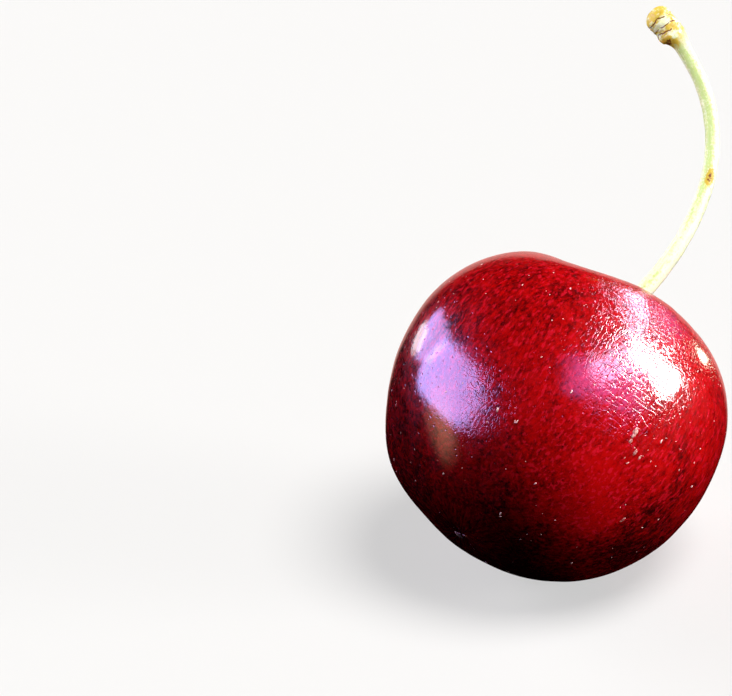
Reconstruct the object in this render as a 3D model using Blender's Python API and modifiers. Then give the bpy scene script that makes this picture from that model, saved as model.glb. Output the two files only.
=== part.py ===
"""A ripe sweet cherry lying on its cheek, with its stalk still in the stem cavity.

Metres, +Z up. The origin is the middle of the small flat patch that the fruit rests on. +X runs to the
right of the side that shows the suture, and +Y away from that side. Directions on the fruit are given from
its middle, as an azimuth from +X towards +Y and an elevation above the horizon, both in degrees.
"""

import math

import bpy
from mathutils import Matrix, Vector

MM = 0.001

# Fruit: a turned form with a funnel at the stem end, then swollen and flattened as a real one grows.
FRUIT_RADIUS = 13.44 * MM
CAVITY_DEPTH = 0.35  # share of the radius that the funnel takes away on its axis
CAVITY_SPREAD = 0.41  # radians from the axis at which the funnel has faded to a third
SHOULDER_TAPER = 0.035  # how much narrower the stem half is than the tip half
STEM_AXIS = (52.5, 35.0)
TIP_AXIS = (230.8, -26.3)
TIP_DIMPLE_DEPTH = 0.02
TIP_DIMPLE_SPREAD = 0.14
FLAT_SIDE_SHARE = 0.07  # how much thinner the fruit is from its suture to its back than cheek to cheek
FLAT_SIDE_AXIS = (-61.7, 30.7)
SUTURE_DEPTH = 0.008
SUTURE_SPREAD = 0.07
SUTURE_RUN_OUT = 0.5  # how squarely the skin must face the suture side for the groove to be at full depth
REST_FLAT_DEPTH = 0.3 * MM
CUTTER_SIDE = 4.0 * FRUIT_RADIUS
# Each swelling or hollow: azimuth, elevation, height as a share of the radius, spread in radians.
SWELLINGS = (
    (148.0, 42.0, 0.031, 0.40),  # fuller left shoulder
    (0.0, 0.0, 0.037, 0.40),  # right cheek
    (193.7, -11.7, 0.032, 0.28),  # left cheek, low down
    (64.2, 63.4, -0.092, 0.40),  # saddle where the suture runs over the cavity's rim
    (103.5, 64.8, 0.020, 0.23),  # crown beside the saddle
)
FRUIT_STEPS = 64
PROFILE_POINTS = 36

# Stalk: a tube of changing thickness along one smooth curve. The handles are from the fruit's middle.
STALK_HANDLES = ((12.73 * MM, 12.5 * MM, 9.43 * MM), (16.53 * MM, 19.7 * MM, 16.83 * MM))
STALK_TIP = (7.83 * MM, 23.8 * MM, 24.33 * MM)
STALK_GAP = 0.6 * MM
STALK_RADIUS = 0.60 * MM
FOOT_RADIUS = 1.10 * MM
FOOT_FLARE = 1.3 * MM
NECK_RADIUS = 0.74 * MM
NECK_LENGTH = 9.0 * MM
KNOB_RADIUS = 1.15 * MM
KNOB_LENGTH = 3.4 * MM
KNOB_TAPER = 0.32 * MM
KNOB_ROUNDING = 0.9 * MM
KNOB_END_SHARE = 0.45  # of its radius that the knob keeps at its very end
STALK_POINTS = 46
BEVEL_RESOLUTION = 4

# Each finish: colour, roughness, coat.
FRUIT_FINISH = ((0.27, 0.004, 0.006, 1.0), 0.16, 0.6)
STALK_FINISH = ((0.72, 0.72, 0.42, 1.0), 0.5, 0.0)


def clear_scene():
    for obj in list(bpy.data.objects):
        bpy.data.objects.remove(obj, do_unlink=True)
    for collection in list(bpy.data.collections):
        bpy.data.collections.remove(collection)


def new_collection(name):
    collection = bpy.data.collections.new(name)
    bpy.context.scene.collection.children.link(collection)
    return collection


def new_material(name, colour, roughness, coat):
    material = bpy.data.materials.new(name)
    material.use_nodes = True
    shader = material.node_tree.nodes["Principled BSDF"]
    shader.inputs["Base Color"].default_value = colour
    shader.inputs["Roughness"].default_value = roughness
    shader.inputs["Metallic"].default_value = 0.0
    shader.inputs["Coat Weight"].default_value = coat
    return material


def direction(azimuth, elevation):
    a = math.radians(azimuth)
    e = math.radians(elevation)
    return Vector((math.cos(e) * math.cos(a), math.cos(e) * math.sin(a), math.sin(e)))


def fade(distance, spread):
    """1 at no distance, falling smoothly to about a third at one spread."""
    return math.exp(-((distance / spread) ** 2))


def cavity_radius(angle):
    """The turned form's distance from its middle, at this angle from the stem axis."""
    funnel = 1.0 - CAVITY_DEPTH * fade(angle, CAVITY_SPREAD)
    taper = 1.0 - SHOULDER_TAPER * math.cos(angle) * math.sin(angle) ** 2
    return FRUIT_RADIUS * funnel * taper


def profile_mesh():
    """Half of the turned outline, from the cavity's floor round the outside to the tip."""
    points = []
    for index in range(PROFILE_POINTS):
        angle = math.pi * index / (PROFILE_POINTS - 1)
        radius = cavity_radius(angle)
        points.append((radius * math.sin(angle), 0.0, radius * math.cos(angle)))
    points[0] = (0.0, 0.0, points[0][2])
    points[-1] = (0.0, 0.0, points[-1][2])
    mesh = bpy.data.meshes.new("fruit_profile")
    mesh.from_pydata(points, [(i, i + 1) for i in range(PROFILE_POINTS - 1)], [])
    return mesh


def turned_form():
    """The profile turned into a closed mesh by a Screw modifier, about +Z."""
    guide = bpy.data.objects.new("fruit_profile", profile_mesh())
    bpy.context.scene.collection.objects.link(guide)
    screw = guide.modifiers.new("turn", "SCREW")
    screw.axis = "Z"
    screw.angle = 2.0 * math.pi
    screw.steps = FRUIT_STEPS
    screw.render_steps = FRUIT_STEPS
    screw.use_merge_vertices = True
    screw.merge_threshold = 0.00001
    graph = bpy.context.evaluated_depsgraph_get()
    mesh = bpy.data.meshes.new_from_object(guide.evaluated_get(graph))
    bpy.data.objects.remove(guide, do_unlink=True)
    return mesh


def growth(toward):
    """How far the skin stands from the turned form in this direction, as a share of its radius."""
    stem = direction(*STEM_AXIS)
    front = direction(*FLAT_SIDE_AXIS)
    total = -TIP_DIMPLE_DEPTH * fade(toward.angle(direction(*TIP_AXIS)), TIP_DIMPLE_SPREAD)
    for azimuth, elevation, height, spread in SWELLINGS:
        total += height * fade(toward.angle(direction(azimuth, elevation)), spread)
    across = stem.cross(front).normalized().dot(toward)
    on_suture_side = max(0.0, front.dot(toward))
    return total - SUTURE_DEPTH * fade(across, SUTURE_SPREAD) * min(1.0, on_suture_side / SUTURE_RUN_OUT)


def grow_fruit(mesh):
    """Turns the form into its lying position, swells it, and flattens it along its suture side."""
    mesh.transform(direction(*STEM_AXIS).to_track_quat("Z", "Y").to_matrix().to_4x4())
    flat_side = direction(*FLAT_SIDE_AXIS)
    for vertex in mesh.vertices:
        toward = vertex.co.normalized()
        grown = vertex.co * (1.0 + growth(toward))
        vertex.co = grown - flat_side * (FLAT_SIDE_SHARE * grown.dot(flat_side))


def middle_above_rest(mesh):
    """Where the fruit's middle goes, so that the flat cut under it is centred on the origin."""
    cut_height = min(vertex.co.z for vertex in mesh.vertices) + REST_FLAT_DEPTH
    below = [vertex.co for vertex in mesh.vertices if vertex.co.z < cut_height]
    patch = sum(below, Vector()) / len(below)
    return Vector((-patch.x, -patch.y, -cut_height))


def rest_cutter(collection):
    """A block whose top face is the surface that the fruit rests on."""
    bpy.ops.mesh.primitive_cube_add(size=1.0)
    cutter = bpy.context.object
    cutter.name = "rest_cutter"
    cutter.data.transform(Matrix.Diagonal((CUTTER_SIDE, CUTTER_SIDE, FRUIT_RADIUS, 1.0)))
    cutter.location = (0.0, 0.0, -0.5 * FRUIT_RADIUS)
    cutter.hide_render = True
    cutter.display_type = "WIRE"
    move_to(cutter, collection)
    return cutter


def move_to(obj, collection):
    for owner in list(obj.users_collection):
        owner.objects.unlink(obj)
    collection.objects.link(obj)


def make_fruit(parts, cutters):
    mesh = turned_form()
    mesh.name = "fruit"
    grow_fruit(mesh)
    middle = middle_above_rest(mesh)
    mesh.transform(Matrix.Translation(middle))
    mesh.shade_smooth()
    fruit = bpy.data.objects.new("fruit", mesh)
    parts.objects.link(fruit)
    fruit.data.materials.append(new_material("cherry_skin", *FRUIT_FINISH))
    cut = fruit.modifiers.new("rest_flat", "BOOLEAN")
    cut.operation = "DIFFERENCE"
    cut.solver = "EXACT"
    cut.object = rest_cutter(cutters)
    return middle


def stalk_route(middle):
    """Points along the stalk's curve, from just above the cavity's floor to the knob's end."""
    stem = direction(*STEM_AXIS)
    floor = cavity_radius(0.0) * (1.0 + growth(stem))
    start = stem * (floor + STALK_GAP)
    first, second = (Vector(handle) for handle in STALK_HANDLES)
    tip = Vector(STALK_TIP)
    points = []
    for index in range(STALK_POINTS):
        t = index / (STALK_POINTS - 1)
        t = t * t * (3.0 - 2.0 * t)  # closer together at both ends, where the thickness changes
        s = 1.0 - t
        point = start * s**3 + first * (3.0 * s * s * t) + second * (3.0 * s * t * t) + tip * t**3
        points.append(middle + point)
    return points


def stalk_thickness(along, length):
    """The stalk's radius at this distance from its foot."""
    radius = STALK_RADIUS
    radius += (NECK_RADIUS - STALK_RADIUS) * fade(along, NECK_LENGTH)
    radius += (FOOT_RADIUS - NECK_RADIUS) * fade(along, FOOT_FLARE)
    to_end = length - along
    swell = 1.0 / (1.0 + math.exp((to_end - KNOB_LENGTH) / KNOB_TAPER))
    radius += (KNOB_RADIUS - STALK_RADIUS) * swell
    if to_end < KNOB_ROUNDING:
        gone = 1.0 - to_end / KNOB_ROUNDING
        radius *= math.sqrt(1.0 - (1.0 - KNOB_END_SHARE**2) * gone * gone)
    return radius


def make_stalk(parts, middle):
    points = stalk_route(middle)
    distances = [0.0]
    for before, after in zip(points, points[1:]):
        distances.append(distances[-1] + (after - before).length)
    curve = bpy.data.curves.new("stalk", "CURVE")
    curve.dimensions = "3D"
    curve.bevel_depth = STALK_RADIUS
    curve.bevel_resolution = BEVEL_RESOLUTION
    curve.use_fill_caps = True
    spline = curve.splines.new("POLY")
    spline.points.add(len(points) - 1)
    for place, point, along in zip(spline.points, points, distances):
        place.co = (*point, 1.0)
        place.radius = stalk_thickness(along, distances[-1]) / STALK_RADIUS
    stalk = bpy.data.objects.new("stalk", curve)
    parts.objects.link(stalk)
    curve.materials.append(new_material("stalk_bark", *STALK_FINISH))


def main():
    clear_scene()
    parts = new_collection("cherry")
    cutters = new_collection("cutters")
    middle = make_fruit(parts, cutters)
    make_stalk(parts, middle)


main()
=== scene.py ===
"""The finish of one ripe sweet cherry and its stalk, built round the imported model.

Lengths are in metres unless a comment says mm. Directions on the fruit are given from its middle, as an
azimuth from +X towards +Y and an elevation above the horizon, both in degrees.
"""

import math
import random

import bmesh
import bpy
import numpy as np
from bpy.props import FloatProperty, FloatVectorProperty, IntProperty, PointerProperty
from mathutils import Matrix, Vector, noise
from mathutils.bvhtree import BVHTree


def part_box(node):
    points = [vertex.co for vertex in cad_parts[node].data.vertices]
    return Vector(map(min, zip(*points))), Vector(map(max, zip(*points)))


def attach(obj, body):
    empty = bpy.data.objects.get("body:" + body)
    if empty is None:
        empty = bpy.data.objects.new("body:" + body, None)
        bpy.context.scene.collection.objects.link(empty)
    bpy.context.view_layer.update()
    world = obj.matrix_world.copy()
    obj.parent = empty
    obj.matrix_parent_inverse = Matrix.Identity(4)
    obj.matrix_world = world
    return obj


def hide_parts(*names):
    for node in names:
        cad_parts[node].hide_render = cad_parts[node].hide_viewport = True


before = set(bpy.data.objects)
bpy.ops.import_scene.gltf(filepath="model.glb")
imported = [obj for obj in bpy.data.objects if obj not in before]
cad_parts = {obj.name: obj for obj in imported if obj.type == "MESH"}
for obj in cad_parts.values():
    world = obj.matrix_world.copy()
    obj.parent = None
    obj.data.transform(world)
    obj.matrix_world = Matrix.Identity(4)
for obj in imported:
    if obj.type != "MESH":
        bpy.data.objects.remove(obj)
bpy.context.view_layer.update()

bl_info = {
    "name": "Ripe cherry",
    "version": (1, 0, 0),
    "blender": (4, 5, 0),
    "location": "3D View > Sidebar > Cherry",
    "description": "Builds the skin, small marks and stalk of a sweet cherry, and a plain stage",
    "category": "Add Mesh",
}

MM = 0.001
FRUIT_LOW, FRUIT_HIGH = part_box("fruit")
WELL_OUTSIDE = 0.1  # further from the fruit's middle than any of its skin

# The fruit's form, as its solid has it but for a shallower suture.
STEM_AXIS = (52.5, 35.0)
TIP_AXIS = (230.8, -26.3)
FLAT_SIDE_AXIS = (-61.7, 30.7)
CAVITY_SPREAD = 0.41
SHOULDER_TAPER = 0.035
TIP_DIMPLE_DEPTH = 0.02
TIP_DIMPLE_SPREAD = 0.14
FLAT_SIDE_SHARE = 0.07
SUTURE_DEPTH = 0.0025
SUTURE_SPREAD = 0.07
# Each swelling or hollow: azimuth, elevation, height as a share of the radius, spread in radians.
SWELLINGS = (
    (148.0, 42.0, 0.031, 0.40),
    (0.0, 0.0, 0.037, 0.40),
    (193.7, -11.7, 0.032, 0.28),
    (64.2, 63.4, -0.092, 0.40),
    (103.5, 64.8, 0.020, 0.23),
)
# How finely the form is measured when it is set in place, and how far round: nearly a full turn.
MIDDLE_STEPS = 240
MIDDLE_TURN = 6.28
# How softly the underside turns up from the flat patch that the fruit rests on.
REST_ROUNDING = 0.12 * MM

# The stalk's curve, from the fruit's middle, as its solid has it.
STALK_HANDLES = ((12.73 * MM, 12.5 * MM, 9.43 * MM), (16.53 * MM, 19.7 * MM, 16.83 * MM))
STALK_TIP = (7.83 * MM, 23.8 * MM, 24.33 * MM)
STALK_CURVE_STEPS = 2000
NECK_LENGTH = 9.0 * MM

# Painted light makes the skin brightest towards its lit side, over its own darker far cheek, and painted
# shade darkens the stem cavity.
PAINTED_LIGHT_SIDE = (5.0, 25.0)
PAINTED_LIGHT_RANGE = (-0.95, 0.35)
PAINTED_LIGHT_REDNESS = 0.78
CAVITY_PAINTED_SHADE = 0.35
CAVITY_PAINTED_SHADE_SPREAD = 0.38
OVERALL_REDNESS = 0.86
# Where the skin is painted redder or darker, mostly painted light and painted shade such as the dark
# underside, with some of its own blush: azimuth, elevation, change, spread in radians.
PAINTED_SHADING_AND_BLUSHES = (
    (-78.0, -3.0, 0.50, 0.25),
    (-91.0, -11.0, -0.22, 0.14),
    (-112.0, -12.0, 0.16, 0.26),
    (-93.0, 14.0, 0.02, 0.20),
    (-58.0, -28.0, -0.75, 0.38),
    (-98.0, 10.0, -0.08, 0.28),
    (-118.0, 68.0, -0.28, 0.38),
    (-56.0, 60.0, -0.12, 0.30),
    (-128.0, 4.0, 0.28, 0.26),
    (-130.0, 32.0, 0.05, 0.28),
    (-172.0, 14.0, 0.25, 0.25),
    (-42.0, -4.0, -0.12, 0.25),
)
# Where the skin is finely wrinkled: azimuth, elevation, how much, spread in radians.
WRINKLED = (
    (-35.0, 52.0, 1.0, 0.40),
    (-117.0, 33.0, 0.55, 0.28),
    (-60.0, 26.0, 0.9, 0.24),
    (-14.0, 14.0, 0.25, 0.28),
)
# Each low swelling of the grown skin: how many to the millimetre, height in mm, and where its pattern starts.
SKIN_RELIEF = (
    (0.22, 0.10, (0.0, 0.0, 0.0)),
    (0.75, 0.012, (9.0, 4.0, 2.0)),
    (2.1, 0.004, (3.0, 8.0, 5.0)),
)
# Pleats that run out of the cavity and the tip: how many go round, and how high they are, in mm.
COARSE_PLEATS = 19.0
FINE_PLEATS = 43.0
CAVITY_PLEAT_HEIGHT = 0.018
TIP_PLEAT_HEIGHT = 0.010
# Where the pleats stand, in radians: how far from the stem axis the cavity's rim is, and how far they reach.
CAVITY_RIM = 0.42
CAVITY_PLEAT_SPREAD = 0.28
TIP_PLEAT_SPREAD = 0.30
GRAIN_END_WIDTH = 0.35  # how wide the skin's grain stays at the stem and the tip, beside the widest place
# Every small mark is an uneven mound: shares of its reach and its height that vary by chance, and share of
# its height that its edge goes under the skin.
MARK_EDGE_CHANCE = 0.22
MARK_HEIGHT_CHANCE = 0.25
MARK_EDGE_SINK = 0.12
# Pores: their least radius, how much larger they get, their lengths and their height beside their radius,
# how far they lean from the stem's direction, and their pale and dark colours.
LENTICEL_RADIUS = 0.035 * MM
LENTICEL_GROWTH = 1.6
LENTICEL_LENGTHS = (1.0, 1.0, 1.5, 2.6)
LENTICEL_HEIGHT = 0.4
LENTICEL_LEAN = 0.5
LENTICEL_COLOURS = ((0.95, 0.72, 0.68), (0.70, 0.26, 0.24))
# Each dry blemish: azimuth, elevation, half length and half width in mm.
BLEMISHES = (
    (-59.5, 19.4, 0.50, 0.22),
    (-62.0, 17.0, 0.22, 0.16),
    (-60.8, 12.6, 0.30, 0.14),
    (-59.3, 10.2, 0.18, 0.10),
    (-66.4, -12.5, 0.30, 0.12),
)
BLEMISH_HEIGHT = 0.03 * MM
BLEMISH_COLOURS = ((0.62, 0.30, 0.24), (0.20, 0.02, 0.02))
# The tip's scar: azimuth and elevation, which way it runs, its half length, half width and height, colours.
TIP_SCAR_PLACE = (-131.5, -28.0)
TIP_SCAR_RUN = (0.71, -0.11, -0.70)
TIP_SCAR_SIZE = (0.62 * MM, 0.20 * MM, 0.09 * MM)
TIP_SCAR_COLOURS = ((0.55, 0.42, 0.36), (0.09, 0.03, 0.02))

STALK_SINK = 0.08 * MM
FOOT_LENGTH = 2.4 * MM
FOOT_FLARE = 1.0 * MM
FOOT_STEP = 0.06 * MM
SHAFT_STEP = 0.14 * MM
KNOB_LENGTH = 4.2 * MM
KNOB_RINGS = 130
KNOB_ROUNDING = 1.1 * MM
KNOB_END_LOSS = 0.94  # share of its cross-section that the knob loses at its very end
# Where the knob starts, in mm from the stalk's end, and over what length, on its outer and its inner side.
KNOB_START = (3.55, 3.05)
KNOB_START_LENGTH = (0.50, 0.22)
# Between which distances from the stalk's end the knob's relief and its colours come in.
KNOB_RELIEF_RANGE = (3.6 * MM, 2.5 * MM)
KNOB_COLOUR_RANGE = (4.4 * MM, 2.4 * MM)
# How far along the stalk its front turns fully green.
GREEN_RANGE = (9.0 * MM, 15.0 * MM)
# The stalk's front faces this way across the bend, and its inner side is at right angles to it.
STALK_FRONT = (0.0, -0.866, 0.5)
FRONT_TURN = 1.5 * math.pi
# Each crack round the knob, in mm: distance from the end, depth, width, and how far it leans inward.
KNOB_CRACKS = (
    (1.05, 0.09, 0.07, 0.22),
    (1.80, 0.06, 0.06, 0.10),
    (2.30, 0.04, 0.05, 0.16),
)
# The ledge under the knob and the scar on the shaft, in mm.
LEDGE_PLACE = 2.85
LEDGE_HEIGHT = 0.10
SCAR_PLACE = 15.3
SCAR_HALF_LENGTH = 0.75
SCAR_DEPTH = 0.05

FLOOR_RADIUS = 3.0
FLOOR_SIDES = 96
FLOOR_DROP = 0.02 * MM
FLOOR_GLOW = 0.54
ROOM_LIGHT = 0.92

# Each sun: name, azimuth, elevation, strength, width in degrees, colour.
SUNS = (
    ("key", -20.0, 69.0, 4.1, 30.0, (1.0, 0.97, 0.94)),
    ("side", -8.0, 9.0, 3.0, 20.0, (1.0, 0.97, 0.94)),
    ("left", 150.0, 12.0, 3.2, 40.0, (1.0, 0.98, 0.96)),
    ("fill", -90.0, 75.0, 0.20, 150.0, (1.0, 1.0, 1.0)),
)
# One more sun of that kind, for the stalk alone.
STALK_SUN = ("stalk_fill", -125.0, 25.0, 2.1, 60.0, (1.0, 1.0, 1.0))
# Each softbox: name, colour, strength, distance, edge softness, azimuth, elevation, half length, half width,
# and how far its length leans from level. The last five are in degrees, seen from the fruit's middle.
SOFTBOXES = (
    ("window_box", (0.44, 0.39, 1.0), 15.5, 1.50, 0.28, 184.5, 20.5, 37.0, 20.0, 6.0),
    ("window_side_box", (0.52, 0.40, 1.0), 9.0, 1.51, 0.40, 145.0, 15.0, 19.0, 10.0, 42.0),
    ("window_edge_box", (1.0, 0.20, 0.80), 3.0, 1.56, 0.60, 190.0, 24.0, 42.0, 26.0, 6.0),
    ("sliver_box", (1.0, 0.90, 1.0), 5.0, 1.46, 0.40, 134.0, 2.0, 9.0, 5.0, 40.0),
    ("wall_box", (1.0, 0.45, 0.28), 4.0, 1.53, 0.90, 192.0, 2.0, 29.0, 19.0, -55.0),
    ("core_box", (1.0, 0.97, 0.98), 58.0, 1.44, 0.15, 6.0, 24.0, 18.5, 12.0, 90.0),
    ("arm_box", (0.85, 0.62, 1.0), 21.0, 1.48, 0.70, -17.0, 43.0, 24.0, 12.0, -24.0),
    ("streak_box", (0.85, 0.70, 1.0), 22.0, 1.46, 0.35, 41.0, 31.0, 32.0, 6.2, -27.0),
    ("lobe_box", (0.80, 0.28, 1.0), 5.0, 1.55, 0.65, -38.0, 43.0, 33.0, 17.0, -42.0),
    ("side_box", (0.90, 0.30, 0.85), 2.0, 1.52, 0.85, 44.0, 14.0, 30.0, 9.0, -36.0),
    ("back_box", (1.0, 0.50, 0.45), 0.8, 1.70, 0.35, 88.0, -14.0, 28.0, 20.0, 0.0),
    ("rim_box", (1.0, 0.95, 0.72), 18.0, 1.42, 0.30, 52.0, -7.5, 7.0, 2.2, -34.0),
)
SOFTBOX_POINTS = 64
SOFTBOX_SQUARENESS = 3.0


def colour_property(name, description, default):
    return FloatVectorProperty(
        name=name, description=description, subtype="COLOR", size=3, min=0.0, max=1.0, default=default
    )


def length_property(name, description, default):
    return FloatProperty(
        name=name, description=description, subtype="DISTANCE", unit="LENGTH", precision=5, default=default
    )


class FruitSettings(bpy.types.PropertyGroup):
    """Sizes and colours of the fruit's skin."""

    radius: length_property("Radius", "Mean radius of the fruit", 13.44 * MM)
    cavity_depth: FloatProperty(
        name="Cavity depth", description="Share of the radius that the stem cavity takes", default=0.35
    )
    rings: IntProperty(name="Rings", description="Rings of faces from stem to tip", default=230)
    meridians: IntProperty(name="Meridians", description="Faces round the fruit", default=360)
    # Between these two reds the skin carries painted light on its lit side and painted shade in its cavity
    # and underneath, over its own darker cheek.
    bright_red: colour_property("Bright red", "Skin on the sunny side", (0.46, 0.0016, 0.0021))
    dark_red: colour_property("Dark red", "Skin on the shaded side", (0.028, 0.0003, 0.0004))
    fleck_red: colour_property("Fleck red", "Fine flecks that run from stem to tip", (0.60, 0.006, 0.022))
    lenticels: IntProperty(name="Lenticels", description="Pale raised pores on the skin", default=300)


class StalkSettings(bpy.types.PropertyGroup):
    """Sizes and colours of the stalk."""

    radius: length_property("Radius", "Radius of the shaft in its middle", 0.60 * MM)
    neck_radius: length_property("Neck radius", "Radius where the shaft leaves the cavity", 0.74 * MM)
    foot_radius: length_property("Foot radius", "Radius of the foot on the cavity's floor", 1.20 * MM)
    knob_radius: length_property("Knob radius", "Radius of the woody end", 1.12 * MM)
    sides: IntProperty(name="Sides", description="Faces round the stalk", default=64)
    cream: colour_property("Cream", "The stalk's pale ground colour", (0.69, 0.72, 0.53))
    green: colour_property("Green", "Streaks along the stalk", (0.46, 0.57, 0.25))
    gold: colour_property("Gold", "Woody patches on the knob", (0.50, 0.37, 0.045))
    bark_brown: colour_property("Bark brown", "Cracks in the knob and scars", (0.16, 0.045, 0.012))


class StageSettings(bpy.types.PropertyGroup):
    """The floor, the lights and the camera."""

    floor_colour: colour_property("Floor", "Plain pale floor", (0.26, 0.26, 0.26))
    lens: FloatProperty(name="Lens", description="Focal length of the camera", unit="CAMERA", default=152.5)
    distance: length_property("Distance", "From the camera to the fruit's middle", 248 * MM)
    elevation: FloatProperty(
        name="Elevation", description="Camera's height angle", unit="ROTATION", default=math.radians(30.0)
    )
    aim_aside: length_property("Aim aside", "How far left of the fruit the camera aims", 15.26 * MM)
    aim_above: length_property("Aim above", "How far above the fruit the camera aims", 5.0 * MM)
    light: FloatProperty(name="Light", description="Strength of all the lights", default=1.0)


# Form


def unit(azimuth, elevation):
    a = math.radians(azimuth)
    e = math.radians(elevation)
    return np.array((math.cos(e) * math.cos(a), math.cos(e) * math.sin(a), math.sin(e)))


def fade(distance, spread):
    """1 at no distance, falling smoothly to about a third at one spread."""
    return np.exp(-((distance / spread) ** 2))


def smooth_step(low, high, value):
    share = np.clip((value - low) / (high - low), 0.0, 1.0)
    return share * share * (3.0 - 2.0 * share)


def angle_to(directions, axis):
    return np.arccos(np.clip(directions @ axis, -1.0, 1.0))


def spread_out(directions, places):
    """The sum of what spreads from each place: azimuth, elevation, amount, spread in radians."""
    total = np.zeros(len(directions))
    for azimuth, elevation, amount, spread in places:
        total += amount * fade(angle_to(directions, unit(azimuth, elevation)), spread)
    return total


def growth(directions):
    """How far the skin stands from the turned form, as a share of its radius."""
    stem = unit(*STEM_AXIS)
    front = unit(*FLAT_SIDE_AXIS)
    total = spread_out(directions, SWELLINGS)
    total -= TIP_DIMPLE_DEPTH * fade(angle_to(directions, unit(*TIP_AXIS)), TIP_DIMPLE_SPREAD)
    seam = np.cross(stem, front)
    across = directions @ (seam / np.linalg.norm(seam))
    on_suture_side = np.clip(2.0 * (directions @ front), 0.0, 1.0)
    return total - SUTURE_DEPTH * fade(across, SUTURE_SPREAD) * on_suture_side


def form_points(directions, fruit):
    """The fruit's form in these directions from its middle."""
    angle = angle_to(directions, unit(*STEM_AXIS))
    funnel = 1.0 - fruit.cavity_depth * fade(angle, CAVITY_SPREAD)
    taper = 1.0 - SHOULDER_TAPER * np.cos(angle) * np.sin(angle) ** 2
    reach = fruit.radius * funnel * taper * (1.0 + growth(directions))
    points = directions * reach[:, None]
    flat_side = unit(*FLAT_SIDE_AXIS)
    return points - flat_side * (FLAT_SIDE_SHARE * (points @ flat_side))[:, None]


def stem_to_tip(angle, turn):
    """Directions on circles that run from the stem axis to the tip, which isn't quite opposite it.

    angle goes from 0 at the stem to pi at the tip, and turn goes round. Seen flat from the tip, the
    circles are straight lines out of the stem's place, so they are drawn there and folded back.
    """
    tip = unit(*TIP_AXIS)
    side = np.cross((0.0, 0.0, 1.0), tip)
    side /= np.linalg.norm(side)
    up = np.cross(side, tip)
    stem = unit(*STEM_AXIS)
    stem_x, stem_y = np.array((stem @ side, stem @ up)) / (1.0 - stem @ tip)
    spread = np.tan(np.minimum(angle, math.pi - 0.0001) / 2.0)
    x = stem_x + spread * np.cos(turn)
    y = stem_y + spread * np.sin(turn)
    far = x * x + y * y
    flat = np.stack((2.0 * x, 2.0 * y, far - 1.0), -1) / (far + 1.0)[..., None]
    return flat @ np.stack((side, up, tip))


def wobble(places, scale, shift):
    """Smooth chance values from about -0.5 to 0.5 at these places, given in millimetres."""
    shift = Vector(shift)
    return np.array([noise.noise(Vector(place) * scale + shift) for place in places])


def relief(directions, angle, turn, fruit):
    """Low swellings, dents and pleats of the grown skin, in metres."""
    places = directions * (fruit.radius / MM)
    heights = sum(height * wobble(places, scale, shift) for scale, height, shift in SKIN_RELIEF)
    pleats = np.sin(turn * COARSE_PLEATS + 2.0 * np.sin(turn * 3.0)) + 0.6 * np.sin(turn * FINE_PLEATS + 1.0)
    heights += CAVITY_PLEAT_HEIGHT * pleats * fade(angle - CAVITY_RIM, CAVITY_PLEAT_SPREAD)
    heights += TIP_PLEAT_HEIGHT * pleats * fade(math.pi - angle, TIP_PLEAT_SPREAD)
    return heights * MM


def store(mesh, name, kind, values):
    """Keeps a value for each vertex, which the materials read by its name."""
    attribute = mesh.attributes.new(name, kind, "POINT")
    field = "vector" if kind == "FLOAT_VECTOR" else "value"
    attribute.data.foreach_set(field, np.asarray(values, np.float32).ravel())


def new_piece(name, mesh, material, slot, *nodes):
    """An object that rides on the root body and stands for these CAD nodes."""
    mesh.materials.append(material)
    mesh.shade_smooth()
    piece = bpy.data.objects.new(name, mesh)
    bpy.context.scene.collection.objects.link(piece)
    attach(piece, "root")
    if nodes:
        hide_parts(*nodes)
    return piece


# Materials


def add_node(tree, kind, inputs=None, **settings):
    """A shader node with these inputs, each a value or another node's socket."""
    made = tree.nodes.new(kind)
    for name, value in settings.items():
        setattr(made, name, value)
    for name, value in (inputs or {}).items():
        socket = made.inputs[name]
        if isinstance(value, bpy.types.NodeSocket):
            tree.links.new(value, socket)
        else:
            socket.default_value = value
    return made


def mixed(tree, share, first, second, blend="MIX"):
    """A colour that goes from first to second as share goes from 0 to 1."""
    mix = tree.nodes.new("ShaderNodeMix")
    mix.data_type = "RGBA"
    mix.blend_type = blend
    for index, value in ((0, share), (6, first), (7, second)):
        if isinstance(value, bpy.types.NodeSocket):
            tree.links.new(value, mix.inputs[index])
        elif index == 0:
            mix.inputs[index].default_value = value
        else:
            mix.inputs[index].default_value = (*value, 1.0)
    return mix.outputs[2]


def maths(tree, operation, *values):
    """The result of one sum on numbers or sockets."""
    node = tree.nodes.new("ShaderNodeMath")
    node.operation = operation
    for index, value in enumerate(values):
        if isinstance(value, bpy.types.NodeSocket):
            tree.links.new(value, node.inputs[index])
        else:
            node.inputs[index].default_value = value
    return node.outputs[0]


def centred(tree, value, strength):
    """Swings by up to half of strength either way of nothing."""
    return maths(tree, "MULTIPLY", maths(tree, "SUBTRACT", value, 0.5), strength)


def ramped(tree, value, low, high, to_low=0.0, to_high=1.0):
    """Goes smoothly from to_low to to_high as value goes from low to high."""
    inputs = {"Value": value, "From Min": low, "From Max": high, "To Min": to_low, "To Max": to_high}
    return add_node(tree, "ShaderNodeMapRange", inputs, interpolation_type="SMOOTHSTEP").outputs[0]


def kept(tree, name):
    """The node that reads a value stored for each vertex."""
    return add_node(tree, "ShaderNodeAttribute", attribute_name=name)


def millimetres(tree):
    """The place on the object, in millimetres."""
    place = add_node(tree, "ShaderNodeTexCoord").outputs["Object"]
    return add_node(tree, "ShaderNodeVectorMath", {0: place, "Scale": 1.0 / MM}, operation="SCALE").outputs[0]


def stretched(tree, vector, scale):
    return add_node(tree, "ShaderNodeVectorMath", {0: vector, 1: scale}, operation="MULTIPLY").outputs[0]


def cloudy(tree, vector, scale, detail=2.0, roughness=0.5):
    inputs = {"Vector": vector, "Scale": scale, "Detail": detail, "Roughness": roughness}
    return add_node(tree, "ShaderNodeTexNoise", inputs).outputs["Fac"]


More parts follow.
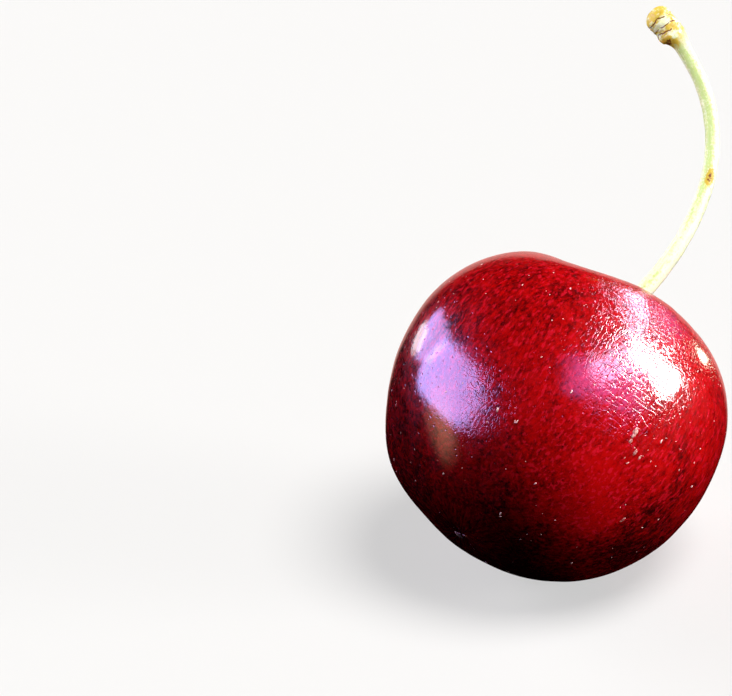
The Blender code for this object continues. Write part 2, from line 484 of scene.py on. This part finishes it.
def creased(tree, vector, scale):
    """0 along thin winding lines and 1 between them."""
    wave = cloudy(tree, vector, scale, 1.0, 0.5)
    return ramped(tree, maths(tree, "ABSOLUTE", maths(tree, "SUBTRACT", wave, 0.5)), 0.0, 0.05)


def new_material(name):
    material = bpy.data.materials.new(name)
    material.use_nodes = True
    tree = material.node_tree
    return material, tree, tree.nodes["Principled BSDF"]


def skin_material(fruit):
    """Glossy skin: cloudy reds that carry painted light and shade, with granular mottles and flecks from stem
    to tip, over a fine relief.
    """
    material, tree, shader = new_material("cherry_skin")
    place = millimetres(tree)
    grain = kept(tree, "grain").outputs["Vector"]
    ripeness = kept(tree, "ripeness").outputs["Fac"]
    long_grain = stretched(tree, grain, (1.0, 1.0, 0.40))
    cloud = centred(tree, cloudy(tree, place, 0.32, 3.0, 0.55), 0.8)
    mottle = centred(tree, cloudy(tree, long_grain, 1.6, 3.0, 0.65), 1.0)
    grit = centred(tree, cloudy(tree, stretched(tree, grain, (1.0, 1.0, 0.6)), 3.4, 3.0, 0.65), 1.5)
    # The stored share of red brings painted light on the lit side and painted shade in the cavity and
    # underneath into the ground colour.
    share = maths(tree, "ADD", maths(tree, "ADD", ripeness, cloud), maths(tree, "ADD", mottle, grit))
    ground = mixed(tree, ramped(tree, share, -0.1, 1.0), tuple(fruit.dark_red), tuple(fruit.bright_red))
    fleck = ramped(tree, cloudy(tree, long_grain, 3.5, 2.0, 0.55), 0.54, 0.64)
    fleck = maths(tree, "MULTIPLY", fleck, ramped(tree, ripeness, 0.0, 0.8, 0.20, 0.80))
    coloured = mixed(tree, fleck, ground, tuple(fruit.fleck_red))
    tree.links.new(coloured, shader.inputs["Base Color"])

    cells = add_node(tree, "ShaderNodeTexVoronoi", {"Vector": place, "Scale": 3.6}, feature="SMOOTH_F1")
    wrinkled = kept(tree, "wrinkled").outputs["Fac"]
    waves = cloudy(tree, stretched(tree, grain, (1.0, 1.0, 0.30)), 2.0, 2.0, 0.6)
    lines = creased(tree, stretched(tree, grain, (1.0, 1.0, 0.25)), 2.6)
    folds = creased(tree, stretched(tree, grain, (0.35, 0.35, 1.0)), 1.7)
    dashes = ramped(tree, cloudy(tree, long_grain, 4.4, 1.0, 0.5), 0.63, 0.71)
    pits = add_node(tree, "ShaderNodeTexVoronoi", {"Vector": place, "Scale": 3.2}).outputs["Distance"]
    pits = ramped(tree, pits, 0.10, 0.30)
    pores = add_node(tree, "ShaderNodeTexVoronoi", {"Vector": place, "Scale": 1.4}).outputs["Distance"]
    height = ramped(tree, pores, 0.07, 0.17, 0.0, 0.7)
    # Each layer of the fine relief, with its strength where the skin is smooth and where it is wrinkled.
    for layer, smooth, rough in (
        (cells.outputs["Distance"], 0.16, 0.60),
        (waves, 0.12, 0.26),
        (lines, 0.03, 0.55),
        (pits, 0.04, 0.60),
        (folds, 0.00, 0.45),
        (dashes, -0.14, -0.55),
    ):
        deep = ramped(tree, wrinkled, 0.0, 1.0, smooth, rough)
        height = maths(tree, "ADD", height, maths(tree, "MULTIPLY", layer, deep))
    bump = add_node(tree, "ShaderNodeBump", {"Height": height, "Strength": 1.0, "Distance": 0.020 * MM})
    tree.links.new(bump.outputs["Normal"], shader.inputs["Normal"])
    tree.links.new(bump.outputs["Normal"], shader.inputs["Coat Normal"])
    roughness = ramped(tree, cloudy(tree, place, 1.1, 3.0, 0.6), 0.3, 0.7, 0.26, 0.40)
    tree.links.new(roughness, shader.inputs["Roughness"])
    shader.inputs["Specular IOR Level"].default_value = 0.05
    shader.inputs["Coat Weight"].default_value = 1.0
    shader.inputs["Coat Roughness"].default_value = 0.03
    shader.inputs["Coat IOR"].default_value = 1.5
    shader.inputs["Subsurface Weight"].default_value = 0.10
    shader.inputs["Subsurface Radius"].default_value = (1.0, 0.10, 0.06)
    shader.inputs["Subsurface Scale"].default_value = 1.0 * MM
    return material


def cork_material(name, pale, dark):
    """Dry corky tissue, speckled from pale to dark."""
    material, tree, shader = new_material(name)
    place = millimetres(tree)
    speckle = cloudy(tree, place, 5.0, 4.0, 0.7)
    tree.links.new(mixed(tree, ramped(tree, speckle, 0.35, 0.65), dark, pale), shader.inputs["Base Color"])
    bump = add_node(tree, "ShaderNodeBump", {"Height": speckle, "Strength": 0.8, "Distance": 0.05 * MM})
    tree.links.new(bump.outputs["Normal"], shader.inputs["Normal"])
    tree.links.new(ramped(tree, speckle, 0.3, 0.7, 0.45, 0.7), shader.inputs["Roughness"])
    return material


def stalk_material(stalk):
    """Pale stalk with green streaks, its sides left pale as painted rim light, and a woody golden knob with
    dark cracks.
    """
    material, tree, shader = new_material("stalk_bark")
    bark = kept(tree, "bark").outputs["Vector"]
    knob = kept(tree, "knob").outputs["Fac"]
    crack = kept(tree, "crack").outputs["Fac"]
    shade = kept(tree, "green_side").outputs["Fac"]
    scar = kept(tree, "scar").outputs["Fac"]
    streak = cloudy(tree, stretched(tree, bark, (1.0, 1.0, 0.12)), 2.4, 4.0, 0.6)
    fine = cloudy(tree, bark, 5.0, 3.0, 0.7)
    speckle = centred(tree, fine, 1.1)
    # The green gathers on the front and leaves the sides pale, as painted rim light.
    streak = maths(tree, "ADD", maths(tree, "ADD", streak, speckle), maths(tree, "MULTIPLY", shade, 0.34))
    colour = mixed(tree, ramped(tree, streak, 0.55, 0.90), tuple(stalk.cream), tuple(stalk.green))
    patch = cloudy(tree, bark, 1.3, 4.0, 0.65)
    golden = maths(tree, "MULTIPLY", ramped(tree, patch, 0.42, 0.56), knob)
    colour = mixed(tree, golden, colour, tuple(stalk.gold))
    edge = maths(tree, "ADD", crack, maths(tree, "MULTIPLY", maths(tree, "SUBTRACT", patch, 0.5), 1.2))
    colour = mixed(tree, ramped(tree, edge, 0.30, 0.62), colour, tuple(stalk.bark_brown))
    torn = ramped(tree, maths(tree, "ADD", scar, maths(tree, "SUBTRACT", fine, 0.5)), 0.12, 0.50)
    colour = mixed(tree, torn, colour, tuple(stalk.gold))
    speck = ramped(tree, maths(tree, "MULTIPLY", scar, cloudy(tree, bark, 4.0, 2.0, 0.6)), 0.38, 0.50)
    colour = mixed(tree, speck, colour, tuple(stalk.bark_brown))
    tree.links.new(colour, shader.inputs["Base Color"])
    ridge = cloudy(tree, stretched(tree, bark, (1.0, 1.0, 0.10)), 4.5, 3.0, 0.6)
    height = maths(tree, "ADD", ridge, maths(tree, "MULTIPLY", fine, 0.5))
    bump = add_node(tree, "ShaderNodeBump", {"Height": height, "Strength": 0.7, "Distance": 0.05 * MM})
    tree.links.new(bump.outputs["Normal"], shader.inputs["Normal"])
    tree.links.new(ramped(tree, fine, 0.3, 0.7, 0.40, 0.60), shader.inputs["Roughness"])
    shader.inputs["Specular IOR Level"].default_value = 0.15
    shader.inputs["Subsurface Weight"].default_value = 0.8
    shader.inputs["Subsurface Radius"].default_value = (1.0, 0.95, 0.5)
    shader.inputs["Subsurface Scale"].default_value = 1.0 * MM
    return material


def floor_material(stage):
    material, _, shader = new_material("pale_floor")
    shader.inputs["Base Color"].default_value = (*stage.floor_colour, 1.0)
    shader.inputs["Roughness"].default_value = 0.9
    shader.inputs["Specular IOR Level"].default_value = 0.0
    shader.inputs["Emission Color"].default_value = (1.0, 1.0, 1.0, 1.0)
    shader.inputs["Emission Strength"].default_value = FLOOR_GLOW
    return material


# Pieces


def fruit_middle(fruit):
    """Where the fruit's middle stands, so that the form's sides and top are those of its solid."""
    angles = np.linspace(0.0, math.pi, MIDDLE_STEPS)
    turns = np.linspace(0.0, MIDDLE_TURN, MIDDLE_STEPS)
    angle, turn = (grid.ravel() for grid in np.meshgrid(angles, turns))
    points = form_points(stem_to_tip(angle, turn), fruit)
    low = points.min(0)
    high = points.max(0)
    aside = (np.array(FRUIT_LOW) + np.array(FRUIT_HIGH) - low - high) / 2.0
    return np.array((aside[0], aside[1], FRUIT_HIGH.z - high[2]))


def fan_faces(around):
    """Three-sided faces from the first vertex to the ring that follows it."""
    return [(0, 1 + k, 1 + (k + 1) % around) for k in range(around)]


def grid_faces(rings, around):
    """Four-sided faces between rings of vertices, closed by a fan at each end."""
    faces = fan_faces(around)
    for ring in range(rings - 1):
        first = 1 + ring * around
        second = first + around
        for k in range(around):
            after = (k + 1) % around
            faces.append((first + k, second + k, second + after, first + after))
    last = 1 + rings * around
    start = last - around
    faces.extend((start + k, last, start + (k + 1) % around) for k in range(around))
    return faces


def rested(height):
    """These heights pressed flat where the fruit rests, with no sharp edge round the flat patch."""
    soft = 0.5 * (height + np.sqrt(height * height + REST_ROUNDING**2)) - 0.5 * REST_ROUNDING
    return np.maximum(soft, 0.0)


def skin_grain(angle, turn, fruit):
    """Places in mm that run from stem to tip, for patterns that follow the skin's grain."""
    wide = fruit.radius / MM
    across = wide * np.maximum(np.sin(angle), GRAIN_END_WIDTH)
    grain = np.stack((across * np.cos(turn), across * np.sin(turn), wide * angle), -1)
    grain[0] = (0.0, 0.0, 0.0)
    grain[-1] = (0.0, 0.0, wide * math.pi)
    return grain


def skin_redness_and_painted_shading(directions, angle):
    """How bright a red the skin is painted, from 0 for the darkest: its own darker cheek, painted light on
    the lit side, painted shade in the cavity and underneath.
    """
    lit = smooth_step(*PAINTED_LIGHT_RANGE, directions @ unit(*PAINTED_LIGHT_SIDE))
    ripeness = PAINTED_LIGHT_REDNESS * lit - CAVITY_PAINTED_SHADE * fade(angle, CAVITY_PAINTED_SHADE_SPREAD)
    return OVERALL_REDNESS * (ripeness + spread_out(directions, PAINTED_SHADING_AND_BLUSHES))


def build_skin(fruit):
    """The whole skin, from the middle of the cavity's floor to the tip."""
    steps = np.arange(1, fruit.rings) * math.pi / fruit.rings
    turns = np.arange(fruit.meridians) * 2.0 * math.pi / fruit.meridians
    angle = np.concatenate(((0.0,), np.repeat(steps, fruit.meridians), (math.pi,)))
    turn = np.concatenate(((0.0,), np.tile(turns, len(steps)), (0.0,)))
    directions = stem_to_tip(angle, turn)
    points = form_points(directions, fruit) + fruit_middle(fruit)
    points += directions * relief(directions, angle, turn, fruit)[:, None]
    points[:, 2] = rested(points[:, 2])
    mesh = bpy.data.meshes.new("fruit_skin")
    mesh.from_pydata(points.tolist(), [], grid_faces(len(steps), fruit.meridians))
    store(mesh, "grain", "FLOAT_VECTOR", skin_grain(angle, turn, fruit))
    # The skin's red, with its painted light and painted shade.
    store(mesh, "ripeness", "FLOAT", skin_redness_and_painted_shading(directions, angle))
    store(mesh, "wrinkled", "FLOAT", spread_out(directions, WRINKLED))
    return new_piece("fruit_skin", mesh, skin_material(fruit), "cherry_skin", "fruit")


class Surface:
    """The finished skin, for placing small marks on it."""

    def __init__(self):
        skin = bpy.data.objects.get("fruit_skin")
        if skin is None:
            raise RuntimeError("The skin comes first")
        mesh = skin.data
        points = [vertex.co.copy() for vertex in mesh.vertices]
        self.tree = BVHTree.FromPolygons(points, [tuple(face.vertices) for face in mesh.polygons])
        self.middle = Vector((FRUIT_LOW + FRUIT_HIGH) / 2.0)

    def at(self, direction):
        """The point of the skin in this direction, and the skin's outward normal there."""
        outside = self.middle + Vector(direction) * WELL_OUTSIDE
        point, normal, _, _ = self.tree.ray_cast(outside, -Vector(direction))
        return point, normal

    def nearest(self, place):
        point, normal, _, _ = self.tree.find_nearest(place)
        return point, normal


def add_patch(marks, surface, direction, along, half_length, half_width, height, chance, rings, sides):
    """A low uneven mound that follows the skin, with its edge just under it."""
    centre, normal = surface.at(direction)
    run = (Vector(along) - normal * normal.dot(Vector(along))).normalized()
    side = normal.cross(run)
    edges = [1.0 + chance.uniform(-MARK_EDGE_CHANCE, MARK_EDGE_CHANCE) for _ in range(sides)]
    top = marks.verts.new(surface.nearest(centre)[0] + normal * height)
    root = marks.verts.new(centre - normal * height)
    before = [top] * sides
    for ring in range(1, rings + 1):
        share = ring / rings
        row = []
        for index in range(sides):
            turn = 2.0 * math.pi * index / sides
            reach = share * edges[index]
            spot = centre + run * (half_length * reach * math.cos(turn))
            spot += side * (half_width * reach * math.sin(turn))
            skin, outward = surface.nearest(spot)
            uneven = 1.0 + chance.uniform(-MARK_HEIGHT_CHANCE, MARK_HEIGHT_CHANCE)
            rise = height * ((1.0 - share * share) * uneven - MARK_EDGE_SINK * share)
            row.append(marks.verts.new(skin + outward * rise))
        for index in range(sides):
            after = (index + 1) % sides
            if ring == 1:
                marks.faces.new((top, row[index], row[after]))
            else:
                marks.faces.new((before[index], row[index], row[after], before[after]))
            if ring == rings:
                marks.faces.new((root, row[after], row[index]))
        before = row


def finish_patches(name, marks, material, slot):
    mesh = bpy.data.meshes.new(name)
    bmesh.ops.recalc_face_normals(marks, faces=marks.faces)
    marks.to_mesh(mesh)
    marks.free()
    return new_piece(name, mesh, material, slot)


def random_direction(chance):
    height = chance.uniform(-1.0, 1.0)
    turn = chance.uniform(0.0, 2.0 * math.pi)
    wide = math.sqrt(1.0 - height * height)
    return Vector((wide * math.cos(turn), wide * math.sin(turn), height))


def build_lenticels(fruit, surface):
    """Pale pores scattered over the skin, longest from stem to tip."""
    chance = random.Random(11)
    marks = bmesh.new()
    stem = Vector(unit(*STEM_AXIS))
    for _ in range(fruit.lenticels):
        direction = random_direction(chance)
        size = LENTICEL_RADIUS * (1.0 + LENTICEL_GROWTH * chance.random() ** 3)
        long = size * chance.choice(LENTICEL_LENGTHS)
        along = stem + random_direction(chance) * LENTICEL_LEAN
        add_patch(marks, surface, direction, along, long, size, LENTICEL_HEIGHT * size, chance, 2, 7)
    material = cork_material("lenticel_cork", *LENTICEL_COLOURS)
    return finish_patches("lenticels", marks, material, "cherry_skin")


def build_blemishes(surface):
    """Small dry blemishes on the suture side."""
    chance = random.Random(5)
    marks = bmesh.new()
    stem = Vector(unit(*STEM_AXIS))
    for azimuth, elevation, half_length, half_width in BLEMISHES:
        direction = Vector(unit(azimuth, elevation))
        size = (half_length * MM, half_width * MM, BLEMISH_HEIGHT)
        add_patch(marks, surface, direction, stem, *size, chance, 4, 18)
    material = cork_material("blemish_cork", *BLEMISH_COLOURS)
    return finish_patches("blemishes", marks, material, "cherry_skin")


def build_tip_scar(surface):
    """The narrow scar that the flower's style left at the tip."""
    chance = random.Random(3)
    marks = bmesh.new()
    direction = Vector(unit(*TIP_SCAR_PLACE))
    add_patch(marks, surface, direction, TIP_SCAR_RUN, *TIP_SCAR_SIZE, chance, 6, 28)
    material = cork_material("tip_cork", *TIP_SCAR_COLOURS)
    return finish_patches("tip_scar", marks, material, "cherry_skin")


def stalk_line(fruit, surface):
    """Points along the middle of the stalk, and how far along it each one is."""
    middle = np.array(fruit_middle(fruit))
    stem = unit(*STEM_AXIS)
    floor, _ = surface.at(stem)
    start = np.array(floor) - stem * STALK_SINK
    first, second = (middle + np.array(handle) for handle in STALK_HANDLES)
    tip = middle + np.array(STALK_TIP)
    t = np.linspace(0.0, 1.0, STALK_CURVE_STEPS)[:, None]
    s = 1.0 - t
    line = start * s**3 + first * (3.0 * s * s * t) + second * (3.0 * s * t * t) + tip * t**3
    steps = np.linalg.norm(np.diff(line, axis=0), axis=1)
    return line, np.concatenate(((0.0,), np.cumsum(steps)))


def ring_places(length):
    """How far along the stalk its rings stand: close together at the foot and at the knob."""
    foot = np.arange(0.0, FOOT_LENGTH, FOOT_STEP)
    shaft = np.arange(FOOT_LENGTH, length - KNOB_LENGTH, SHAFT_STEP)
    knob = np.linspace(length - KNOB_LENGTH, length, KNOB_RINGS)
    return np.concatenate((foot, shaft, knob))


def knob_share(to_end):
    """0 on the shaft and 1 on the knob, at this distance from the stalk's end."""
    return smooth_step(*KNOB_RELIEF_RANGE, to_end)


def outer_to_inner(pair, inner_share):
    """A value that goes from the first on the stalk's outer side to the second on its inner side."""
    return pair[0] + (pair[1] - pair[0]) * inner_share


def plain_thickness(stalk, along, to_end, inner_share):
    """The stalk's radius before its cracks and ridges. The knob starts sharply on the inner side only."""
    radius = stalk.radius + (stalk.neck_radius - stalk.radius) * fade(along, NECK_LENGTH)
    radius = radius + (stalk.foot_radius - stalk.neck_radius) * fade(along, FOOT_FLARE)
    past_start = to_end / MM - outer_to_inner(KNOB_START, inner_share)
    swell = 1.0 / (1.0 + np.exp(past_start / outer_to_inner(KNOB_START_LENGTH, inner_share)))
    radius = radius + (stalk.knob_radius - stalk.radius) * swell
    gone = np.clip(1.0 - to_end / KNOB_ROUNDING, 0.0, 1.0)
    return radius * np.sqrt(np.maximum(0.0, 1.0 - KNOB_END_LOSS * gone**2.2))


def ring_frames(line, distances, rows):
    """Each ring's centre, and which way is along the stalk, to its inner side and to its back there."""
    centres = np.stack([np.interp(rows, distances, line[:, axis]) for axis in range(3)], -1)
    forward = np.gradient(centres, rows, axis=0)
    forward /= np.linalg.norm(forward, axis=1)[:, None]
    inner = np.cross(np.array(STALK_FRONT), forward)
    inner /= np.linalg.norm(inner, axis=1)[:, None]
    return centres, forward, inner, np.cross(inner, forward)


def bark_relief(turn, along, to_end, inner_share):
    """How far the bark stands out, in mm, and how much it is cracked and scarred."""
    in_mm = np.stack((0.9 * np.cos(turn), 0.9 * np.sin(turn), along / MM), -1)
    uneven = wobble(in_mm, 0.9, (3.0, 6.0, 9.0))
    fine = wobble(in_mm, 2.6, (5.0, 10.0, 15.0))
    on_knob = knob_share(to_end)
    height = 0.035 * uneven + 0.012 * fine + on_knob * (0.10 * uneven + 0.06 * fine)
    height += 0.012 * np.sin(turn * 5.0 + 0.25 * along / MM) * (1.0 - on_knob)
    crack = np.zeros(len(turn))
    for place, depth, width, lean in KNOB_CRACKS:
        off = to_end / MM - place + lean * np.cos(turn) - 0.30 * uneven - 0.12 * fine
        shown = smooth_step(-0.35, 0.60, np.cos(turn + 0.7) + 2.0 * fine)
        height -= depth * fade(off, width) * (0.4 + 0.6 * shown)
        crack = np.maximum(crack, fade(off, 0.8 * width) * shown)
    ledge_place = to_end / MM - LEDGE_PLACE - 0.15 * uneven
    ledge = smooth_step(0.12, -0.10, ledge_place) * smooth_step(-0.9, -0.25, ledge_place)
    height += LEDGE_HEIGHT * ledge * inner_share**1.5
    under = fade(ledge_place - 0.15, 0.60) * smooth_step(0.45, 0.85, inner_share + 0.4 * fine)
    scar = fade(along / MM - SCAR_PLACE, SCAR_HALF_LENGTH) * fade(turn - FRONT_TURN + 0.2, 0.60)
    height -= SCAR_DEPTH * scar * (0.6 + fine)
    return height, crack, np.maximum(scar, 0.95 * under)


def green_side(turn, along, to_end):
    """How green the bark is: most on the front of the shaft's upper part, and not at all on the knob. The
    sides stay pale, as painted rim light.
    """
    front = fade(2.0 * np.sin(0.5 * (turn - FRONT_TURN - 0.4)), 0.95)
    upper = 0.5 + 0.5 * smooth_step(*GREEN_RANGE, along)
    return front * upper * (1.0 - knob_share(to_end))


def build_stalk(fruit, stalk, surface):
    """The shaft, its foot in the cavity and its woody knob with rings and cracks."""
    line, distances = stalk_line(fruit, surface)
    length = distances[-1]
    rows = ring_places(length)
    centres, forward, inner, back = ring_frames(line, distances, rows)
    turns = np.arange(stalk.sides) * 2.0 * math.pi / stalk.sides
    turn = np.tile(turns, len(rows))
    along = np.repeat(rows, stalk.sides)
    to_end = length - along
    inner_share = 0.5 + 0.5 * np.cos(turn)
    height, crack, scar = bark_relief(turn, along, to_end, inner_share)
    reach = plain_thickness(stalk, along, to_end, inner_share) + height * MM
    around = inner[:, None] * np.cos(turns)[None, :, None] + back[:, None] * np.sin(turns)[None, :, None]
    points = centres.repeat(stalk.sides, 0) + around.reshape(-1, 3) * reach[:, None]
    points = np.concatenate((centres[:1] - forward[:1] * STALK_SINK, points, centres[-1:]))
    mesh = bpy.data.meshes.new("stalk_bark")
    mesh.from_pydata(points.tolist(), [], grid_faces(len(rows), stalk.sides))

    def ended(values, first, last):
        return np.concatenate((np.atleast_1d(first), values, np.atleast_1d(last)))

    bark = np.stack((0.7 * np.cos(turn), 0.7 * np.sin(turn), along / MM), -1)
    bark = np.concatenate(((0.0, 0.0, 0.0), bark.ravel(), (0.0, 0.0, length / MM)))
    store(mesh, "bark", "FLOAT_VECTOR", bark)
    store(mesh, "knob", "FLOAT", ended(smooth_step(*KNOB_COLOUR_RANGE, to_end), 0.0, 1.0))
    store(mesh, "crack", "FLOAT", ended(crack, 0.0, 0.0))
    # The green front, with the sides left pale as painted rim light.
    store(mesh, "green_side", "FLOAT", ended(green_side(turn, along, to_end), 0.0, 0.0))
    store(mesh, "scar", "FLOAT", ended(scar, 0.0, 0.0))
    return new_piece("stalk_bark", mesh, stalk_material(stalk), "stalk_bark", "stalk")


# Stage


def stage_piece(name, mesh, material):
    mesh.materials.append(material)
    piece = bpy.data.objects.new(name, mesh)
    bpy.context.scene.collection.objects.link(piece)
    return piece


def build_floor(stage):
    """A round pale floor, wide enough to fill the view behind the fruit."""
    rim = [
        (FLOOR_RADIUS * math.cos(turn), FLOOR_RADIUS * math.sin(turn), -FLOOR_DROP)
        for turn in np.linspace(0.0, 2.0 * math.pi, FLOOR_SIDES, endpoint=False)
    ]
    mesh = bpy.data.meshes.new("floor")
    mesh.from_pydata([(0.0, 0.0, -FLOOR_DROP), *rim], [], fan_faces(FLOOR_SIDES))
    floor = stage_piece("floor", mesh, floor_material(stage))
    floor.visible_glossy = False
    floor.visible_diffuse = False


def add_sun(stage, name, azimuth, elevation, strength, width, colour):
    """Soft light from this direction that lights the colour but leaves no highlight."""
    light = bpy.data.lights.new(name, "SUN")
    light.energy = strength * stage.light
    light.angle = math.radians(width)
    light.color = colour
    lamp = bpy.data.objects.new(name, light)
    lamp.rotation_mode = "QUATERNION"
    lamp.rotation_quaternion = Vector(unit(azimuth, elevation)).to_track_quat("Z", "Y")
    bpy.context.scene.collection.objects.link(lamp)
    lamp.visible_glossy = False
    return lamp


def light_only(lamp, *names):
    """Lets this light fall on the named pieces and on nothing else."""
    receivers = bpy.data.collections.new(lamp.name)
    for name in names:
        receivers.objects.link(bpy.data.objects[name])
    lamp.light_linking.receiver_collection = receivers


def softbox_material(name, colour, strength):
    """Glows evenly, fades at the box's edge and lets the boxes behind it show."""
    material = bpy.data.materials.new(name)
    material.use_nodes = True
    tree = material.node_tree
    tree.nodes.clear()
    inner = kept(tree, "inner").outputs["Fac"]
    glow = add_node(
        tree,
        "ShaderNodeEmission",
        {"Color": (*colour, 1.0), "Strength": ramped(tree, inner, 0.0, 1.0, 0.0, strength)},
    )
    clear = add_node(tree, "ShaderNodeBsdfTransparent")
    both = add_node(tree, "ShaderNodeAddShader", {0: glow.outputs[0], 1: clear.outputs[0]})
    shown = add_node(tree, "ShaderNodeOutputMaterial")
    tree.links.new(both.outputs[0], shown.inputs["Surface"])
    return material


def card_edge(azimuth, elevation, half_length, half_width, lean):
    """Directions round a softbox's edge, an oval with slightly square corners."""
    centre = unit(azimuth, elevation)
    side = np.cross((0.0, 0.0, 1.0), centre)
    side /= np.linalg.norm(side)
    up = np.cross(centre, side)
    turn = np.arange(SOFTBOX_POINTS) * 2.0 * math.pi / SOFTBOX_POINTS
    power = 2.0 / SOFTBOX_SQUARENESS
    along = half_length * np.sign(np.cos(turn)) * np.abs(np.cos(turn)) ** power
    across = half_width * np.sign(np.sin(turn)) * np.abs(np.sin(turn)) ** power
    lean = math.radians(lean)
    aside = np.radians(along * math.cos(lean) - across * math.sin(lean))[:, None]
    above = np.radians(along * math.sin(lean) + across * math.cos(lean))[:, None]
    reach = np.hypot(aside, above)
    return centre, centre * np.cos(reach) + (side * aside + up * above) * (np.sin(reach) / reach)


def add_softbox(name, middle, colour, strength, distance, softness, *shape):
    """A glowing card seen only as a highlight, placed round the fruit's middle."""
    centre, edge = card_edge(*shape)
    inside = edge + (centre - edge) * softness
    points = middle + np.concatenate((centre[None], inside, edge)) * distance
    count = len(edge)
    faces = fan_faces(count)
    for k in range(count):
        after = (k + 1) % count
        faces.append((1 + k, 1 + count + k, 1 + count + after, 1 + after))
    mesh = bpy.data.meshes.new(name)
    mesh.from_pydata(points.tolist(), [], faces)
    store(mesh, "inner", "FLOAT", [1.0] * (1 + count) + [0.0] * count)
    box = stage_piece(name, mesh, softbox_material(name, colour, strength))
    box.visible_camera = False
    box.visible_diffuse = False
    box.visible_shadow = False
    box.visible_transmission = False


def build_world():
    world = bpy.data.worlds.new("pale_room")
    bpy.context.scene.world = world
    world.use_nodes = True
    background = world.node_tree.nodes["Background"]
    background.inputs["Color"].default_value = (1.0, 1.0, 1.0, 1.0)
    background.inputs["Strength"].default_value = ROOM_LIGHT
    world.cycles_visibility.diffuse = False
    world.cycles_visibility.glossy = False


def build_camera(stage, middle):
    """Looks down at the fruit from in front, with the fruit right of the picture's middle."""
    height = stage.elevation
    toward = Vector((0.0, -math.cos(height), math.sin(height)))
    up = Vector((0.0, math.sin(height), math.cos(height)))
    aim = middle + Vector((-stage.aim_aside, 0.0, 0.0)) + up * stage.aim_above
    data = bpy.data.cameras.new("camera")
    data.lens = stage.lens
    data.sensor_width = 36.0
    data.clip_start = 0.01
    data.clip_end = 20.0
    camera = bpy.data.objects.new("camera", data)
    camera.location = middle + toward * stage.distance
    back = (camera.location - aim).normalized()
    right = up.cross(back).normalized()
    camera.rotation_mode = "QUATERNION"
    camera.rotation_quaternion = Matrix((right, back.cross(right), back)).transposed().to_quaternion()
    bpy.context.scene.collection.objects.link(camera)
    bpy.context.scene.camera = camera


# Operators


class CHERRY_OT_skin(bpy.types.Operator):
    """Build the fruit's glossy skin"""

    bl_idname = "cherry.skin"
    bl_label = "Skin"

    def execute(self, context):
        build_skin(context.scene.cherry_fruit)
        return {"FINISHED"}


class CHERRY_OT_marks(bpy.types.Operator):
    """Build the pores, blemishes and tip scar on the skin"""

    bl_idname = "cherry.marks"
    bl_label = "Skin marks"

    def execute(self, context):
        surface = Surface()
        build_lenticels(context.scene.cherry_fruit, surface)
        build_blemishes(surface)
        build_tip_scar(surface)
        return {"FINISHED"}


class CHERRY_OT_stalk(bpy.types.Operator):
    """Build the stalk with its foot and woody knob"""

    bl_idname = "cherry.stalk"
    bl_label = "Stalk"

    def execute(self, context):
        build_stalk(context.scene.cherry_fruit, context.scene.cherry_stalk, Surface())
        return {"FINISHED"}


class CHERRY_OT_stage(bpy.types.Operator):
    """Build the pale floor, the lights and the camera"""

    bl_idname = "cherry.stage"
    bl_label = "Stage"

    def execute(self, context):
        stage = context.scene.cherry_stage
        middle = fruit_middle(context.scene.cherry_fruit)
        context.scene.view_settings.view_transform = "Standard"
        build_floor(stage)
        build_world()
        for sun in SUNS:
            add_sun(stage, *sun)
        light_only(add_sun(stage, *STALK_SUN), "stalk_bark")
        for name, colour, strength, *place in SOFTBOXES:
            add_softbox(name, middle, colour, strength * stage.light, *place)
        build_camera(stage, Vector(middle))
        return {"FINISHED"}


class CHERRY_PT_panel(bpy.types.Panel):
    """Lists the cherry's parts and their settings"""

    bl_idname = "CHERRY_PT_panel"
    bl_label = "Ripe cherry"
    bl_space_type = "VIEW_3D"
    bl_region_type = "UI"
    bl_category = "Cherry"

    def draw(self, context):
        scene = context.scene
        for settings, operators in (
            (scene.cherry_fruit, (CHERRY_OT_skin, CHERRY_OT_marks)),
            (scene.cherry_stalk, (CHERRY_OT_stalk,)),
            (scene.cherry_stage, (CHERRY_OT_stage,)),
        ):
            box = self.layout.box()
            for name in settings.__annotations__:
                box.prop(settings, name)
            for operator in operators:
                box.operator(operator.bl_idname)


CLASSES = (
    FruitSettings,
    StalkSettings,
    StageSettings,
    CHERRY_OT_skin,
    CHERRY_OT_marks,
    CHERRY_OT_stalk,
    CHERRY_OT_stage,
    CHERRY_PT_panel,
)


def register():
    for cls in CLASSES:
        bpy.utils.register_class(cls)
    bpy.types.Scene.cherry_fruit = PointerProperty(type=FruitSettings)
    bpy.types.Scene.cherry_stalk = PointerProperty(type=StalkSettings)
    bpy.types.Scene.cherry_stage = PointerProperty(type=StageSettings)


def unregister():
    del bpy.types.Scene.cherry_stage
    del bpy.types.Scene.cherry_stalk
    del bpy.types.Scene.cherry_fruit
    for cls in reversed(CLASSES):
        bpy.utils.unregister_class(cls)


def main():
    register()
    bpy.ops.cherry.skin()
    bpy.ops.cherry.marks()
    bpy.ops.cherry.stalk()
    bpy.ops.cherry.stage()


if __name__ == "__main__":
    main()
